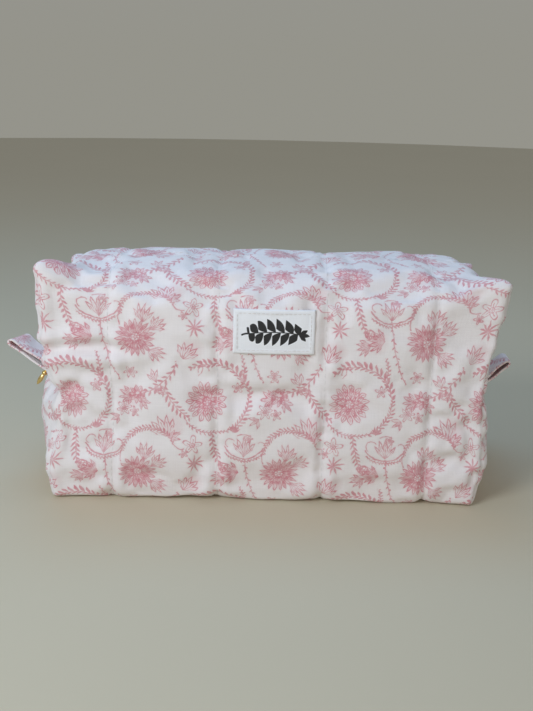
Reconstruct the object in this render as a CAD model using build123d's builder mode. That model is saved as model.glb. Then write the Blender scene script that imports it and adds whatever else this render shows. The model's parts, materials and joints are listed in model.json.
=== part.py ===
"""A quilted cotton makeup bag with a zip over its top.

Frame: +X along the bag's length, +Y to its back, +Z up. The origin is under the middle of the bag,
on the surface that it stands on. Units are millimetres.

The bag is two panels, front and back, that meet under the base, at the zip and in a seam across the
middle of each end. Every panel is three layers: printed cotton, wadding and lining.
"""
import os
from math import cos, radians, sin, sqrt

from build123d import *

os.makedirs("parts", exist_ok=True)

# Driving dimensions of the bag
LENGTH = 250
DEPTH = 120
HEIGHT = 130  # to the front and back edges of the top
CROWN = 4  # rise of the top from those edges to the zip
EDGE_RADIUS = 16  # long edges
END_RADIUS = 14  # edges round each end

# Layers of a panel, from the outside in
COTTON = 0.8
WADDING = 2.6
LINING = 0.6
UNDER_COTTON = COTTON
UNDER_WADDING = COTTON + WADDING
WALL = COTTON + WADDING + LINING

# The top opens as two flaps between the fixed ends of the bag
MOUTH_HALF = 96
HINGE_Y = DEPTH / 2 - EDGE_RADIUS
RUNNING_GAP = 0.3
CUT_OVERLAP = 1  # a cut beside the mouth runs this far into it

# Seam across each end, where the zip and the tabs start
SEAM_Z = 65
SEAM_HALF = 2

# Zip: the tape and coil lie in a slot between the two panels
SLOT_HALF = 6
ZIP_LOW_Z = SEAM_Z + 1.5
TAPE_DEPTH = 1.7
TAPE_THICKNESS = 0.6
COIL_DEPTH = 1.2
COIL_THICKNESS = 1.6
COIL_INNER = 0.2  # from the middle of the zip to the coil, where the coils mesh
COIL_PARTED = 1.0  # the same at the ends, where the slider's post passes
COIL_OUTER = 2.8
STOP_HEIGHT = 2.5

# Thread laid on the cotton
THREAD = 0.25
THREAD_WIDTH = 0.6
QUILTING_X = (-89, -29, 31, 91)
QUILTING_LOW_Z = 2
TOPSTITCH_Y = SLOT_HALF + 2

# Bound seam allowances inside the bag
BINDING_WIDTH = 8
BINDING_THICKNESS = 3
BINDING_ROUNDING = 0.75
BASE_BINDING_HALF = 5
BASE_BINDING_DEPTH = WALL + 2
CORNER_BINDING_TOP = HEIGHT - EDGE_RADIUS
CORNER_BINDING_LOW = EDGE_RADIUS

# Label sewn to the front
LABEL_LENGTH = 45
LABEL_HEIGHT = 25
LABEL_THICKNESS = 0.5
LABEL_X = 2
LABEL_Z = 103
LABEL_TILT = 0.8
LABEL_HEM = 2
LABEL_CORNER = 0.8

# Tabs: cotton strips folded into loops
TAB_WIDTH = 21
TAB_NEAR_Y = -4.5
TAB_THICKNESS = 3.4
TAB_GAP = 0.8
TAB_HINGE_X = LENGTH / 2 + TAB_THICKNESS / 2 + 0.4
TAB_REACH = 150  # from the middle of the bag to the tip of either tab
TAB_ANGLE_LEFT = 42  # above the horizontal
TAB_ANGLE_RIGHT = 27

# Zip slider, closed, low on the left end
SLIDER_Z = 74
SLIDER_LENGTH = 11
SLIDER_WIDTH = 8
PLATE = 1.2
OUTER_PLATE_DEPTH = COIL_DEPTH - 0.4  # inner face of the plate outside the coil
INNER_PLATE_DEPTH = COIL_DEPTH + COIL_THICKNESS + 0.4  # outer face of the plate inside it
FLANGE_INNER = COIL_OUTER + 0.35
POST_WIDTH = 1.2
POST_LENGTH = 3
BAIL_LENGTH = 7
BAIL_HEIGHT = 3.6
BAIL_BAR = 1.2
BAIL_WIDTH = 1.4

# Beaded puller, hung from the slider's bail
PULLER_HINGE_OUT = 2.2  # from the end of the bag
PULLER_TILT = 34  # its lean outward at rest, over the full lower half of the end
LINK_WIDTH = 4.2
LINK_LENGTH = 7.4
LINK_BAR = 0.9
LINK_THICKNESS = 1.0
NECK_WIDTH = 2.2
NECK_END = 15.5
BEAD_RADIUS = 1.9
SMALL_BEAD_RADIUS = 1.7
DROP_RADIUS = 1.5
DROP_END = 29.5
DROP_NECK = 0.9  # half its width where it leaves the small bead
DROP_BELLY = 3  # from there to its widest place
# Where a bead meets the next piece, as a share of the distance at which they would just touch
NECK_MELD = 0.8
BEAD_MELD = 0.9
DROP_MELD = 0.7

SIDES = {"front": -1, "back": 1}
ENDS = {"left": -1, "right": 1}
BIG = 2 * LENGTH  # larger than the bag in every direction


def bag_form(depth):
    """The bag's outer form with every surface moved inward by depth."""
    half = DEPTH / 2 - depth
    with BuildPart() as form:
        with BuildSketch(Plane.YZ) as section:
            with BuildLine():
                Polyline((-half, HEIGHT - depth), (-half, depth), (half, depth), (half, HEIGHT - depth))
                ThreePointArc((half, HEIGHT - depth), (0, HEIGHT + CROWN - depth), (-half, HEIGHT - depth))
            make_face()
            fillet(section.vertices(), EDGE_RADIUS - depth)
        extrude(amount=LENGTH / 2 - depth, both=True)
        fillet(form.faces().filter_by(Axis.X).edges(), END_RADIUS - depth)
    return form.part


def crown_height(y):
    """Height of the top's outer surface at a distance y from the zip."""
    radius = ((DEPTH / 2) ** 2 + CROWN**2) / (2 * CROWN)
    return HEIGHT + CROWN - radius + sqrt(radius**2 - y**2)


def add_box(x, y, z, mode):
    """A box between the given limits along each axis."""
    centre = ((x[0] + x[1]) / 2, (y[0] + y[1]) / 2, (z[0] + z[1]) / 2)
    with Locations(centre):
        Box(x[1] - x[0], abs(y[1] - y[0]), z[1] - z[0], mode=mode)


def panel_layer(outside, inside, side):
    """The fixed part of one layer of a panel: a face, half the base, half of each end and of the top."""
    with BuildPart() as layer:
        add(outside)
        add(inside, mode=Mode.SUBTRACT)
        add_box((-BIG, BIG), (0, side * BIG), (-BIG, BIG), Mode.INTERSECT)
        mouth = (0, side * HINGE_Y)
        add_box((-MOUTH_HALF, MOUTH_HALF), mouth, (SEAM_Z, BIG), Mode.SUBTRACT)
        for end in ENDS.values():
            slot_x = sorted((end * (MOUTH_HALF - CUT_OVERLAP), end * BIG))
            add_box(slot_x, (0, side * SLOT_HALF), (ZIP_LOW_Z, BIG), Mode.SUBTRACT)
    return layer.part


def flap_layer(outside, inside, side, near, far):
    """One layer of the flap on one side of the mouth, between two distances from the zip's middle."""
    reach = MOUTH_HALF - RUNNING_GAP
    with BuildPart() as layer:
        add(outside)
        add(inside, mode=Mode.SUBTRACT)
        add_box((-reach, reach), (side * near, side * far), (SEAM_Z, BIG), Mode.INTERSECT)
    return layer.part


def zip_end(outside, inside, side, end, near, far):
    """A strip of the zip from the mouth, over the corner and down one end of the bag to its seam."""
    with BuildPart() as strip:
        add(outside)
        add(inside, mode=Mode.SUBTRACT)
        strip_x = sorted((end * MOUTH_HALF, end * BIG))
        add_box(strip_x, (side * near, side * far), (ZIP_LOW_Z, BIG), Mode.INTERSECT)
    return strip.part


def save(piece, name):
    """Label a finished piece and write it to its own file."""
    piece.label = name
    export_step(piece, f"parts/{name}.step")


# The nested surfaces that bound the layers
outer_surface = bag_form(0)
cotton_surface = bag_form(UNDER_COTTON)
wadding_surface = bag_form(UNDER_WADDING)
inner_surface = bag_form(WALL)
thread_surface = bag_form(-THREAD)
base_binding_surface = bag_form(BASE_BINDING_DEPTH)
tape_outer = bag_form(TAPE_DEPTH)
tape_inner = bag_form(TAPE_DEPTH + TAPE_THICKNESS)
coil_outer = bag_form(COIL_DEPTH)
coil_inner = bag_form(COIL_DEPTH + COIL_THICKNESS)

LAYERS = {
    "outer": (outer_surface, cotton_surface),
    "wadding": (cotton_surface, wadding_surface),
    "lining": (wadding_surface, inner_surface),
}

# Panels and flaps, one piece for each layer
for side_name, side in SIDES.items():
    for layer_name, (outside, inside) in LAYERS.items():
        save(panel_layer(outside, inside, side), f"{layer_name}_{side_name}_panel")
        flap = flap_layer(outside, inside, side, SLOT_HALF, HINGE_Y - RUNNING_GAP)
        save(flap, f"{layer_name}_{side_name}_flap")

# Zip tape and coil: on the flaps, and on the fixed ends of the bag
for side_name, side in SIDES.items():
    tape = flap_layer(tape_outer, tape_inner, side, COIL_OUTER, SLOT_HALF)
    save(tape, f"zipper_tape_{side_name}")
    coil = flap_layer(coil_outer, coil_inner, side, COIL_INNER, COIL_OUTER)
    save(coil, f"zipper_coil_{side_name}")
    for end_name, end in ENDS.items():
        tape = zip_end(tape_outer, tape_inner, side, end, COIL_OUTER, SLOT_HALF)
        save(tape, f"zipper_tape_{side_name}_{end_name}")
        with BuildPart() as coil_end:
            add(zip_end(coil_outer, coil_inner, side, end, COIL_PARTED, COIL_OUTER))
            # the coil stops short of the seam, above its metal stop
            with Locations((0, 0, ZIP_LOW_Z)):
                Box(BIG, BIG, 2 * STOP_HEIGHT, mode=Mode.SUBTRACT)
        save(coil_end.part, f"zipper_coil_{side_name}_{end_name}")

# Metal stops under the ends of the coils: a pair where the zip closes, a bridge where it opens
STOP_X = LENGTH / 2 - COIL_DEPTH - COIL_THICKNESS / 2
STOP_Z = ZIP_LOW_Z + STOP_HEIGHT / 2
with BuildPart() as top_stops:
    for side in SIDES.values():
        with Locations((-STOP_X, side * (COIL_PARTED + COIL_OUTER) / 2, STOP_Z)):
            Box(COIL_THICKNESS, COIL_OUTER - COIL_PARTED, STOP_HEIGHT)
save(top_stops.part, "zipper_top_stops")

with BuildPart() as bottom_stop:
    with Locations((STOP_X, 0, STOP_Z)):
        Box(COIL_THICKNESS, 2 * COIL_OUTER, STOP_HEIGHT)
save(bottom_stop.part, "zipper_bottom_stop")

# Quilting threads up the face of each panel and across its flap, as far as the stitches by the zip
with BuildPart() as quilting_planes:
    with Locations([(x, 0, 0) for x in QUILTING_X]):
        Box(THREAD_WIDTH, BIG, BIG)

half_thread = THREAD_WIDTH / 2
for side_name, side in SIDES.items():
    with BuildPart() as face_threads:
        add(thread_surface)
        add(outer_surface, mode=Mode.SUBTRACT)
        add_box((-BIG, BIG), (side * HINGE_Y, side * BIG), (QUILTING_LOW_Z, BIG), Mode.INTERSECT)
        add(quilting_planes.part, mode=Mode.INTERSECT)
    save(face_threads.part, f"quilting_{side_name}")

    quilting_reach = (TOPSTITCH_Y + THREAD_WIDTH, HINGE_Y - RUNNING_GAP)
    with BuildPart() as flap_threads:
        add(flap_layer(thread_surface, outer_surface, side, *quilting_reach))
        add(quilting_planes.part, mode=Mode.INTERSECT)
    save(flap_threads.part, f"quilting_{side_name}_flap")

    row = (TOPSTITCH_Y - half_thread, TOPSTITCH_Y + half_thread)
    save(flap_layer(thread_surface, outer_surface, side, *row), f"topstitch_{side_name}")

# Bound seam allowance along the middle of the base and up each end
with BuildPart() as bottom_binding:
    add(inner_surface)
    add(base_binding_surface, mode=Mode.SUBTRACT)
    base = (-BASE_BINDING_HALF, BASE_BINDING_HALF)
    add_box((-BIG, BIG), base, (-BIG, SEAM_Z - SEAM_HALF), Mode.INTERSECT)
save(bottom_binding.part, "bottom_seam_binding")

# Bound seam allowance across each end
END_BINDING_HALF = DEPTH / 2 - EDGE_RADIUS
for end_name, end in ENDS.items():
    inner_x = LENGTH / 2 - WALL
    binding_x = sorted((end * (inner_x - BINDING_WIDTH), end * inner_x))
    with BuildPart() as end_binding:
        binding_y = (-END_BINDING_HALF, END_BINDING_HALF)
        binding_low = SEAM_Z - SEAM_HALF
        add_box(binding_x, binding_y, (binding_low, binding_low + BINDING_THICKNESS), Mode.ADD)
        fillet(end_binding.edges().filter_by(Axis.Y), BINDING_ROUNDING)
    save(end_binding.part, f"end_seam_binding_{end_name}")

# Bound allowances of the boxed corners, upright in the four corners
for side_name, side in SIDES.items():
    for end_name, end in ENDS.items():
        corner = Vector(end * (LENGTH / 2 - WALL), side * (DEPTH / 2 - WALL), 0)
        inward = Vector(-end, -side, 0).normalized()
        corner_plane = Plane(origin=corner + inward * BINDING_WIDTH / 2, x_dir=inward, z_dir=(0, 0, 1))
        with BuildPart() as corner_binding:
            with BuildSketch(corner_plane.offset(CORNER_BINDING_LOW)):
                Rectangle(2 * BINDING_WIDTH, BINDING_THICKNESS)
            extrude(amount=CORNER_BINDING_TOP - CORNER_BINDING_LOW)
            add(inner_surface, mode=Mode.INTERSECT)
        save(corner_binding.part, f"corner_seam_binding_{side_name}_{end_name}")

# Woven label with its edges folded under, and the row of stitches that holds it
label_place = Location((LABEL_X, LABEL_Z, 0), (0, 0, LABEL_TILT))
with BuildPart() as label:
    with BuildSketch(Plane.XZ.offset(DEPTH / 2)):
        with Locations(label_place):
            RectangleRounded(LABEL_LENGTH, LABEL_HEIGHT, LABEL_CORNER)
    extrude(amount=LABEL_THICKNESS)
save(label.part, "label")

with BuildPart() as label_stitching:
    with BuildSketch(Plane.XZ.offset(DEPTH / 2 + LABEL_THICKNESS)):
        with Locations(label_place):
            row_length = LABEL_LENGTH - 2 * LABEL_HEM
            row_height = LABEL_HEIGHT - 2 * LABEL_HEM
            Rectangle(row_length, row_height)
            Rectangle(row_length - 2 * THREAD_WIDTH, row_height - 2 * THREAD_WIDTH, mode=Mode.SUBTRACT)
    extrude(amount=THREAD)
save(label_stitching.part, "label_stitching")

# Tabs: a strip folded back on itself, with its two ends in the end seam
for end_name, angle in (("left", TAB_ANGLE_LEFT), ("right", TAB_ANGLE_RIGHT)):
    end = ENDS[end_name]
    outward = Vector(end * cos(radians(angle)), 0, sin(radians(angle)))
    half_thickness = TAB_THICKNESS / 2
    middle_length = (TAB_REACH - half_thickness - TAB_HINGE_X) / cos(radians(angle))
    tab_plane = Plane(origin=(end * TAB_HINGE_X, TAB_NEAR_Y, SEAM_Z), x_dir=outward, z_dir=(0, -1, 0))
    with BuildPart() as tab:
        with BuildSketch(tab_plane):
            with Locations((middle_length / 2, 0)):
                SlotCenterToCenter(middle_length, TAB_THICKNESS)
                SlotCenterToCenter(middle_length, TAB_GAP, mode=Mode.SUBTRACT)
        extrude(amount=TAB_WIDTH)
    save(tab.part, f"tab_{end_name}")

# Slider: two plates round the coil, joined by a post, with a bail for the puller
END_X = -LENGTH / 2
with BuildPart() as slider:
    outer_face = Plane.YZ.offset(END_X + OUTER_PLATE_DEPTH)
    inner_face = Plane.YZ.offset(END_X + INNER_PLATE_DEPTH)
    for face, outward in ((outer_face, -1), (inner_face, 1)):
        with BuildSketch(face):
            with Locations((0, SLIDER_Z)):
                RectangleRounded(SLIDER_WIDTH, SLIDER_LENGTH, SLIDER_WIDTH / 4)
        extrude(amount=outward * PLATE)
    # flanges turned toward the tape from both plates
    tape_top = END_X + TAPE_DEPTH
    tape_under = tape_top + TAPE_THICKNESS
    flange_low = SLIDER_Z - SLIDER_LENGTH / 2 + SLIDER_WIDTH / 4
    flange_high = SLIDER_Z + SLIDER_LENGTH / 2 - SLIDER_WIDTH / 4
    for side in SIDES.values():
        flange_y = sorted((side * FLANGE_INNER, side * SLIDER_WIDTH / 2))
        above = (END_X + OUTER_PLATE_DEPTH, tape_top - RUNNING_GAP)
        below = (tape_under + RUNNING_GAP, END_X + INNER_PLATE_DEPTH)
        add_box(above, flange_y, (flange_low, flange_high), Mode.ADD)
        add_box(below, flange_y, (flange_low, flange_high), Mode.ADD)
    # the post stands at the slider's lower end, clear of the coils and the stops
    post_low = SLIDER_Z - SLIDER_LENGTH / 2
    post_x = (END_X + OUTER_PLATE_DEPTH, END_X + INNER_PLATE_DEPTH)
    post_y = (-POST_WIDTH / 2, POST_WIDTH / 2)
    add_box(post_x, post_y, (post_low, post_low + POST_LENGTH), Mode.ADD)
    # bail
    plate_outside = END_X + OUTER_PLATE_DEPTH - PLATE
    with BuildSketch(Plane.XZ):
        with Locations((plate_outside, SLIDER_Z)):
            RectangleRounded(2 * BAIL_HEIGHT, BAIL_LENGTH, BAIL_BAR)
            hole_height = BAIL_HEIGHT - BAIL_BAR
            Rectangle(2 * hole_height, BAIL_LENGTH - 2 * BAIL_BAR, mode=Mode.SUBTRACT)
        with Locations((plate_outside + BAIL_HEIGHT, SLIDER_Z)):
            Rectangle(2 * BAIL_HEIGHT, BIG, mode=Mode.SUBTRACT)
    extrude(amount=BAIL_WIDTH / 2, both=True)
save(slider.part, "slider")

# Puller: a link through the bail, a flat neck, two beads and a drop
lean = radians(PULLER_TILT)
PULLER_PLANE = Plane(
    origin=(END_X - PULLER_HINGE_OUT, 0, SLIDER_Z),
    x_dir=(0, 1, 0),
    z_dir=(-cos(lean), 0, sin(lean)),
)
hang_axis = Axis(PULLER_PLANE.origin, PULLER_PLANE.y_dir)
BEAD_CENTRE = NECK_END + BEAD_RADIUS * NECK_MELD
SMALL_BEAD_CENTRE = BEAD_CENTRE + (BEAD_RADIUS + SMALL_BEAD_RADIUS) * BEAD_MELD
DROP_START = SMALL_BEAD_CENTRE + SMALL_BEAD_RADIUS * DROP_MELD
with BuildPart() as puller:
    with BuildSketch(PULLER_PLANE):
        with Locations((0, LINK_LENGTH / 2 - LINK_BAR / 2)):
            RectangleRounded(LINK_WIDTH, LINK_LENGTH, LINK_WIDTH / 4)
            link_hole = LINK_WIDTH - 2 * LINK_BAR
            RectangleRounded(link_hole, LINK_LENGTH - 2 * LINK_BAR, link_hole / 4, mode=Mode.SUBTRACT)
        link_end = LINK_LENGTH - LINK_BAR
        with Locations((0, (link_end + NECK_END) / 2)):
            Rectangle(NECK_WIDTH, NECK_END - link_end)
    extrude(amount=LINK_THICKNESS / 2, both=True)
    for centre, radius in ((BEAD_CENTRE, BEAD_RADIUS), (SMALL_BEAD_CENTRE, SMALL_BEAD_RADIUS)):
        with Locations(PULLER_PLANE.from_local_coords(Vector(0, centre, 0))):
            Sphere(radius)
    with BuildSketch(PULLER_PLANE):
        with BuildLine():
            Polyline((0, DROP_END), (0, DROP_START), (DROP_NECK, DROP_START))
            Spline((DROP_NECK, DROP_START), (DROP_RADIUS, DROP_START + DROP_BELLY), (0, DROP_END))
        make_face()
    revolve(axis=hang_axis)
save(puller.part, "puller")

print(f"top at the flap hinge: {crown_height(HINGE_Y):.3f} mm")
print(f"puller hinge: {PULLER_PLANE.origin}")
print(f"tab hinges at x = {TAB_HINGE_X:.2f} mm, z = {SEAM_Z} mm")
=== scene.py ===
"""The looks of a quilted cotton makeup bag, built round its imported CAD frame.

Shapes are worked out in millimetres, in the CAD's axes: +X along the bag, +Y to its back, +Z up.
A panel starts as the flat faces of a box, each point also knowing its place on the flat cloth. It is
then rounded, puffed, relaxed as cloth and creased.
"""
import json
import math
from functools import reduce

import bpy
import numpy as np
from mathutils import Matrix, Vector
from mathutils.bvhtree import BVHTree


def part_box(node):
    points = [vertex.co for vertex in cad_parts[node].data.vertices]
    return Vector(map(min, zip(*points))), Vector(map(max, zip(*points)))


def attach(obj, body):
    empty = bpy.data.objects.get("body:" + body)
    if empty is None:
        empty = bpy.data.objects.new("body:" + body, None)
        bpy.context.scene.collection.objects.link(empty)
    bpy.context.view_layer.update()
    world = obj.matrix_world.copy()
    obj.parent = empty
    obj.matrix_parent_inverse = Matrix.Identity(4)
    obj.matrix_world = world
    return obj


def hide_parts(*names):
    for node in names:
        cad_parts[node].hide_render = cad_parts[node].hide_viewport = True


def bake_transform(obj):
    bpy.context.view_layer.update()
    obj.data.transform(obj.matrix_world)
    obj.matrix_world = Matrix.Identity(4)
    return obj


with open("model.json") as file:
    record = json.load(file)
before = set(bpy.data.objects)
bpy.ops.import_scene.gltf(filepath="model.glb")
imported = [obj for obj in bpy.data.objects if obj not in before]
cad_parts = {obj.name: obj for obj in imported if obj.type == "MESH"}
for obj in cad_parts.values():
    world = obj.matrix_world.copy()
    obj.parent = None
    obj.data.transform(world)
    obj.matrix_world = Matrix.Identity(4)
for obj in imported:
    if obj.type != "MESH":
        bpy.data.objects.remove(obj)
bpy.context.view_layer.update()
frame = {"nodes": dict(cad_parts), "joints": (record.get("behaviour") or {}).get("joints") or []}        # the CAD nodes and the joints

MM = 0.001


def cad_box_of(name):
    """The two corners of a CAD node's box, in millimetres."""
    return (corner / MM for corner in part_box(name))


# ---------------------------------------------------------------- sizes, from the CAD frame
panel_low, panel_high = cad_box_of("outer_front_panel")
_, flap_high = cad_box_of("outer_front_flap")
label_low, label_high = cad_box_of("label")
joints = {joint["name"]: joint for joint in frame["joints"]}

HALF_LENGTH = panel_high.x
HALF_DEPTH = -panel_low.y
EDGE_Z = panel_high.z - 4  # the front and back edges of the top
SEAM_Z = joints["left_tab_fold"]["pos_m"][2] / MM
ZIP_EDGE = -flap_high.y - 1  # the panels' edges fold in a little over the tape
QUILTING_X = (-89, -29, 31, 91)
QUILTING_PITCH = 60
SIDES = {"front": -1, "back": 1}
ENDS = {"left": -1, "right": 1}

CAGE = 5  # spacing of the simulated cloth
FINE = 3  # finished grid lines to each cage line
THICKNESS = 4.0
EDGE_THICKNESS = 1.6
CLOTH_FRAMES = 20
MOST_RELAXED = 1.7  # how far the simulated cloth may move
FLOOR_GAP = 0.3  # the base stands this far above the floor at least
FAR = 99  # distance given to points that a seam doesn't reach
PRINT_X, PRINT_Y = 34, -16  # where the print's repeat falls on the cloth
SHAKE = 2.4  # how far the print's lines wander from the drawing


# ---------------------------------------------------------------- small helpers
def smooth(t):
    """Rises smoothly from 0 to 1 as t does."""
    t = np.clip(t, 0, 1)
    return t * t * (3 - 2 * t)


def bell(distance, width):
    return np.exp(-((distance / width) ** 2))


def curve(*points):
    """A smoothed line through a few (position, value) points."""
    where, value = np.array(points, float).T
    fine = np.linspace(where[0], where[-1], 241)
    rough = np.interp(fine, where, value)
    kernel = np.hanning(27)
    padded = np.pad(rough, 13, mode="edge")
    soft = np.convolve(padded, kernel / kernel.sum(), mode="valid")
    return lambda at: np.interp(at, fine, soft)


def ripples(points, wavelength, seed, waves=10):
    """Smooth unevenness of about unit size, from a few crossing waves."""
    points = np.asarray(points, float)
    rng = np.random.default_rng(seed)
    directions = rng.normal(size=(waves, points.shape[-1]))
    directions /= np.linalg.norm(directions, axis=1, keepdims=True)
    pace = 2 * np.pi / wavelength * rng.uniform(0.65, 1.45, waves)
    phase = rng.uniform(0, 2 * np.pi, waves)
    return np.sin(points @ (directions * pace[:, None]).T + phase).sum(-1) / math.sqrt(waves / 2)


def unit(vectors):
    """The vectors, or the one vector, at length 1."""
    return vectors / np.linalg.norm(vectors, axis=-1, keepdims=True)


def travel(path):
    """How far each point of a path is from its start, measured along it."""
    return np.concatenate([[0], np.cumsum(np.linalg.norm(np.diff(path, axis=0), axis=1))])


def at_places(where, known, rows):
    """Rows of numbers, known at some places, interpolated at others."""
    return np.stack([np.interp(where, known, column) for column in rows.T], -1)


def evened(line, times):
    """A line with its kinks evened out, its two ends left where they are."""
    line = line.copy()
    for _ in range(times):
        line[1:-1] = (line[:-2] + 2 * line[1:-1] + line[2:]) / 4
    return line


def divide(stops, step):
    """Lines about a step apart, with one on every stop."""
    lines = [stops[0]]
    for a, b in zip(stops, stops[1:]):
        count = max(1, round(abs(b - a) / step))
        lines += [a + (b - a) * (i + 1) / count for i in range(count)]
    return np.array(lines, float)


def refine(lines, factor):
    count = len(lines) - 1
    return np.interp(np.arange(count * factor + 1) / factor, np.arange(count + 1), lines)


def vertex_normals(points, faces):
    faces = np.asarray(faces)
    across = points[faces[:, 2]] - points[faces[:, 0]]
    along = points[faces[:, 3]] - points[faces[:, 1]]
    face_normals = np.cross(across, along)
    normals = np.zeros_like(points)
    for corner in range(4):
        np.add.at(normals, faces[:, corner], face_normals)
    return normals / np.maximum(np.linalg.norm(normals, axis=1, keepdims=True), 1e-12)


def make_object(name, points, faces, materials, uv=None, slots=None):
    """A smooth-shaded mesh object from points in millimetres."""
    mesh = bpy.data.meshes.new(name)
    mesh.from_pydata((np.asarray(points, float) * MM).tolist(), [], [list(map(int, f)) for f in faces])
    if uv is not None:
        layer = mesh.uv_layers.new(name="Cloth")
        layer.data.foreach_set("uv", np.asarray(uv, np.float32).ravel())
    for material in materials:
        mesh.materials.append(material)
    if slots is not None:
        mesh.polygons.foreach_set("material_index", np.asarray(slots, np.int32))
    mesh.polygons.foreach_set("use_smooth", np.ones(len(mesh.polygons), bool))
    mesh.validate()
    mesh.update()
    obj = bpy.data.objects.new(name, mesh)
    bpy.context.scene.collection.objects.link(obj)
    return obj


# ---------------------------------------------------------------- the panel before it is shaped
class Panel:
    """One panel as a grid on the sharp box, with every point's place on the flat cloth."""

    def __init__(self, side, factor):
        self.side = side
        xs = refine(divide((-HALF_LENGTH, *QUILTING_X, HALF_LENGTH), CAGE), factor)
        ys = refine(divide((0, ZIP_EDGE, HALF_DEPTH), CAGE), factor)
        low = refine(divide((0, SEAM_Z), CAGE), factor)
        high = refine(divide((SEAM_Z, EDGE_Z), CAGE), factor)
        top_ys = ys[ys > ZIP_EDGE - 0.01]
        girth = 2 * HALF_DEPTH + EDGE_Z
        self.keys, self.grids = {}, {}
        self.box, self.cloth, self.faces, self.uv, self.region = [], [], [], [], []
        self.patch("base", xs, ys, lambda a, b: (a, side * b, 0 * a), lambda a, b: (a, b))
        face_zs = np.concatenate([low, high[1:]])
        self.patch(
            "face", xs, face_zs,
            lambda a, b: (a, side * HALF_DEPTH + 0 * a, b),
            lambda a, b: (a, HALF_DEPTH + b),
        )
        self.patch(
            "top", xs, top_ys,
            lambda a, b: (a, side * b, EDGE_Z + 0 * a),
            lambda a, b: (a, girth - b),
        )
        for name, end in ENDS.items():
            self.patch(
                f"{name}_low", ys, low,
                lambda a, b: (end * HALF_LENGTH + 0 * a, side * a, b),
                lambda a, b: (end * (HALF_LENGTH + b), a),
            )
            self.patch(
                f"{name}_high", top_ys, high,
                lambda a, b: (end * HALF_LENGTH + 0 * a, side * a, b),
                lambda a, b: (end * (HALF_LENGTH + EDGE_Z - b), girth - a),
            )
        for listed in ("box", "cloth", "faces", "uv", "region"):
            setattr(self, listed, np.array(getattr(self, listed)))

    def patch(self, name, a_lines, b_lines, place, cloth_place):
        a, b = np.meshgrid(a_lines, b_lines, indexing="ij")
        points = np.stack(place(a, b), -1)
        cloth = np.stack(cloth_place(a, b), -1)
        index = np.empty(a.shape, int)
        for i, j in np.ndindex(a.shape):
            key = tuple(np.round(points[i, j] * 50).astype(int))
            if key not in self.keys:
                self.keys[key] = len(self.box)
                self.box.append(points[i, j])
                self.cloth.append(cloth[i, j])
                self.region.append(name)
            index[i, j] = self.keys[key]
        self.grids[name] = index
        corner = points[0, 0]
        normal = np.cross(points[1, 0] - corner, points[0, 1] - corner)
        outward = points.mean((0, 1)) - (0, 0, EDGE_Z / 2)
        turned = normal @ outward < 0
        for i, j in np.ndindex(a.shape[0] - 1, a.shape[1] - 1):
            ring = [(i, j), (i + 1, j), (i + 1, j + 1), (i, j + 1)]
            ring = ring[::-1] if turned else ring
            self.faces.append([index[at] for at in ring])
            self.uv.append([cloth[at] for at in ring])

    def zip_row(self, row):
        """Point numbers along the zip, some rows in from the edge, from the left seam to the right one."""
        left, right = self.grids["left_high"], self.grids["right_high"]
        return [*left[row], *self.grids["top"][1:-1, row], *right[row][::-1]]


# ---------------------------------------------------------------- the shape of the bag
# Height up the bag against how far the ends reach, at the upright seams and at the middle of each end
left_edge = curve((0, 124.5), (20, 126.5), (32, 123.5), (44, 118.5), (58, 117.5), (68, 119.5),
                  (76, 124.5), (86, 127), (100, 129), (130, 130.5))
right_edge = curve((0, 118.5), (10, 121.5), (24, 123), (52, 121.5), (74, 121.5), (86, 123.5),
                   (100, 126.5), (116, 130.5), (130, 133.5))
left_middle = curve((0, 122), (12, 127), (28, 133.5), (42, 137), (54, 137), (60, 131), (65, 123),
                    (69, 125), (130, 125))
right_middle = curve((0, 122), (12, 125), (30, 128.5), (48, 129), (60, 126.5), (65, 123),
                     (69, 125), (130, 125))
# Place along the bag against the height of each panel at the zip
ridge_front = curve((-125, 130), (-113, 132.5), (-96, 134.5), (0, 136), (82, 137.5), (100, 136),
                    (114, 132.5), (125, 130))
ridge_back = curve((-125, 127), (-112, 131), (0, 134), (110, 131.5), (125, 127))


def rounded(box):
    """The sharp box with its edges rounded: tight at the upright seams, softer at the base, softest above."""
    from_seam = np.maximum(HALF_LENGTH - np.abs(box[:, 0]), HALF_DEPTH - np.abs(box[:, 1]))
    soft = 8 + 9 * smooth((box[:, 2] - 78) / 50)
    radius = 3.5 + (soft - 3.5) * smooth(from_seam / 26)
    half = np.stack([HALF_LENGTH - radius, HALF_DEPTH - radius], -1)
    core = np.empty_like(box)
    core[:, :2] = np.clip(box[:, :2], -half, half)
    core[:, 2] = np.clip(box[:, 2], radius, EDGE_Z - radius)
    outward = box - core
    length = np.maximum(np.linalg.norm(outward, axis=1, keepdims=True), 1e-9)
    return core + outward / length * radius[:, None]


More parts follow.
